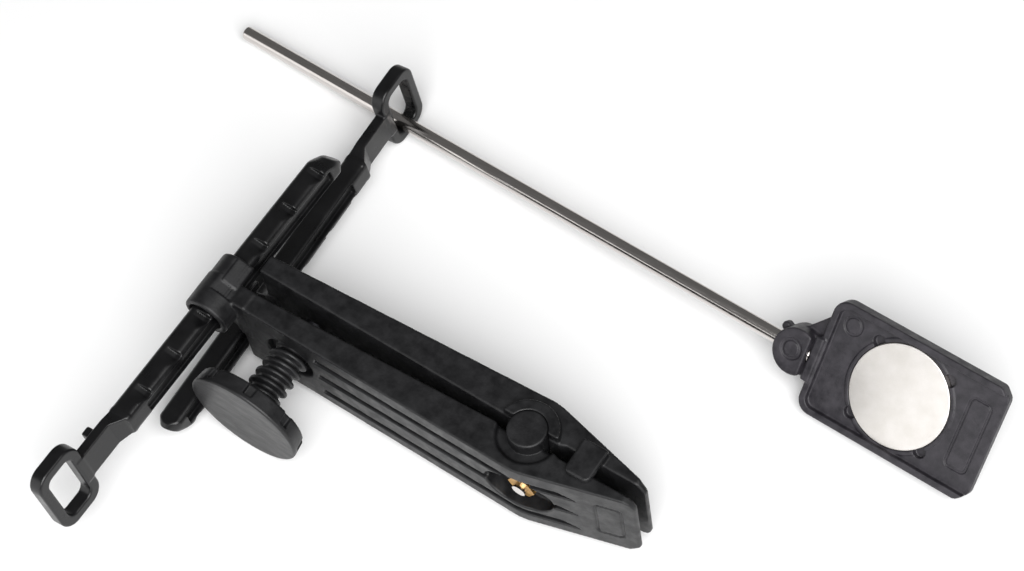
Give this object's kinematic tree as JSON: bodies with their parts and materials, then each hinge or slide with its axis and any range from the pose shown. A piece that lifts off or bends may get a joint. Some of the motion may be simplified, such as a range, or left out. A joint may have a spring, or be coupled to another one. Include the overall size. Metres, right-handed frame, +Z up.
{
  "type": "magnetic knife sharpening guide",
  "caption": "Two-jaw blade clamp with thumbscrew, sliding notched angle arms with loops, and a steel guide rod carrying a magnetic stone holder",
  "frame": {"origin": "on the floor, straight below the point where the jaws' pivot axis meets the plane of their lower edges", "axes": "+X along the clamp from the arms to the nose, +Y across it from the knob's side to the guide rod's side, +Z up. The clamp leans 3.40 degrees about X, as it rests on its knob and far loop"},
  "size_m": [0.193, 0.1264, 0.028],
  "materials": {
    "clamp_plastic": "black glass-filled moulding with faint flow marks",
    "arm_plastic": "black semi-gloss moulding",
    "screw_plastic": "black satin moulding",
    "rod_steel": "drawn stainless steel",
    "nut_brass": "plain brass",
    "pad_steel": "blackened steel",
    "magnet_nickel": "fine-grained satin nickel plating"
  },
  "bodies": {
    "clamp": {"near_jaw": "clamp_plastic", "tie_screw": "rod_steel", "tie_washer": "rod_steel", "tie_nut": "nut_brass"},
    "pushed_jaw": {"far_jaw": "clamp_plastic"},
    "screw_thrust": {"thrust_pad": "pad_steel"},
    "screw_knob": {"thumbscrew": "screw_plastic"},
    "near_angle_arm": {"near_arm": "arm_plastic"},
    "far_angle_arm": {"far_arm": "arm_plastic"},
    "rod": {"guide_rod": "rod_steel"},
    "holder": {"stone_holder": "clamp_plastic", "magnet_disc": "magnet_nickel"}
  },
  "joints": [
    {"name": "screw_travel", "type": "slide", "parent": "clamp", "child": "screw_thrust", "axis": [0, 0.9982, 0.0592], "range_m": [-0.003, 0.005]},
    {"name": "screw_turn", "type": "hinge", "parent": "screw_thrust", "child": "screw_knob", "pos_m": [-0.0548, -0.00066, 0.01407], "axis": [0, 0.9982, 0.0592], "range_deg": [-461, 767]},
    {"name": "jaw_pivot", "type": "hinge", "parent": "clamp", "child": "pushed_jaw", "pos_m": [0, 0, 0.00299], "axis": [0, -0.0592, 0.9982], "range_deg": [-5.3, 3.2]},
    {"name": "near_arm_slide", "type": "slide", "parent": "clamp", "child": "near_angle_arm", "axis": [0.0105, 0.9982, 0.0592], "range_m": [-0.029, 0.0245]},
    {"name": "far_arm_slide", "type": "slide", "parent": "pushed_jaw", "child": "far_angle_arm", "axis": [-0.0332, 0.9977, 0.0592], "range_m": [-0.029, 0.027]},
    {"name": "rod_slide", "type": "slide", "parent": "far_angle_arm", "child": "rod", "axis": [0.9966, -0.0653, 0.0511], "range_m": [-0.085, 0.038]},
    {"name": "holder_roll", "type": "hinge", "parent": "rod", "child": "holder", "pos_m": [0.02656, 0.05055, 0.0097], "axis": [0.9966, -0.0653, 0.0511], "continuous": true}
  ],
  "couplings": [
    {"joint": "screw_turn", "follows": "screw_travel", "rad_per_m": 2673.7},
    {"joint": "jaw_pivot", "follows": "screw_travel", "rad_per_m": -18.248}
  ]
}
